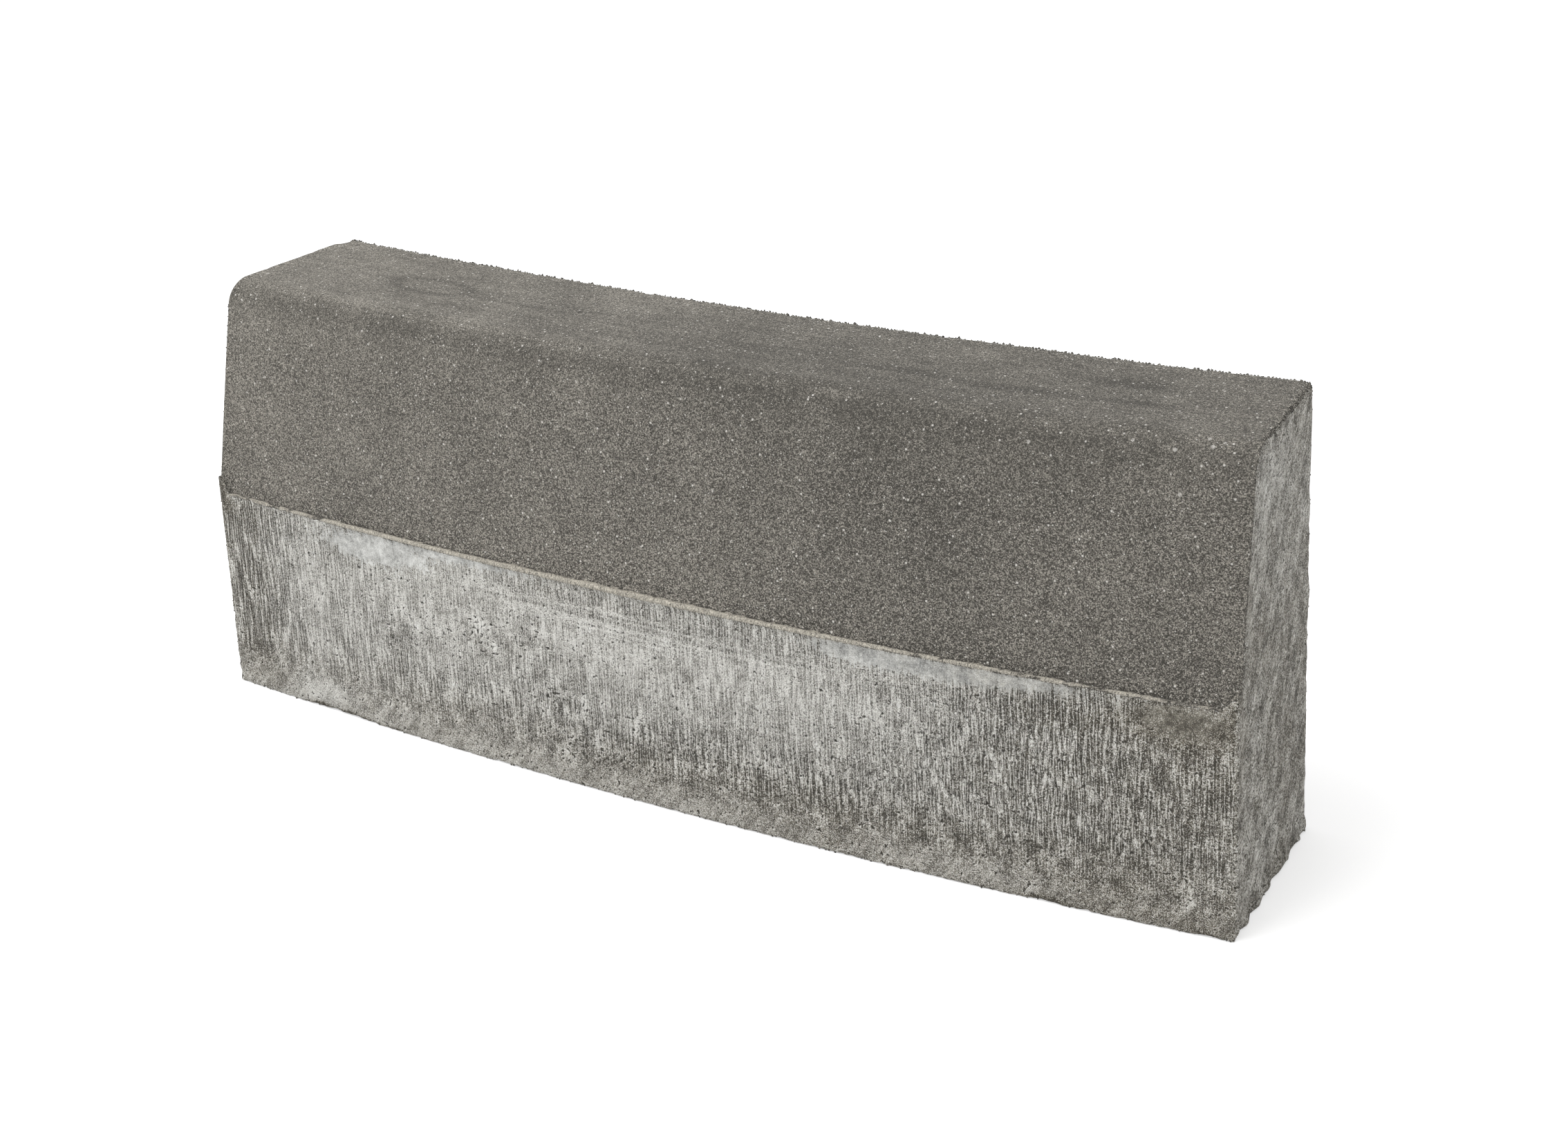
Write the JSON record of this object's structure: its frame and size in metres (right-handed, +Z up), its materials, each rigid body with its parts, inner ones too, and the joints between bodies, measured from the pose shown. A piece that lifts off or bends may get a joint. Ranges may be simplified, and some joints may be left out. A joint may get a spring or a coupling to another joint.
{
  "type": "curved concrete kerb stone",
  "caption": "Upright road kerb curved in plan, with a leaning road face, a round nose, a narrow ledge above its foot and ends cut on radii.",
  "frame": {"origin": "middle of the footprint's bounding box, on the bed", "axes": "+X along the chord of the bend, -Y towards the road, +Z up"},
  "size_m": [0.7788, 0.1682, 0.3],
  "materials": {
    "concrete": "pressed grey concrete, sandy above the ledge, streaked with pale laitance below it and on the ends"
  },
  "bodies": {
    "root": {"kerb_stone": "concrete"}
  },
  "joints": []
}
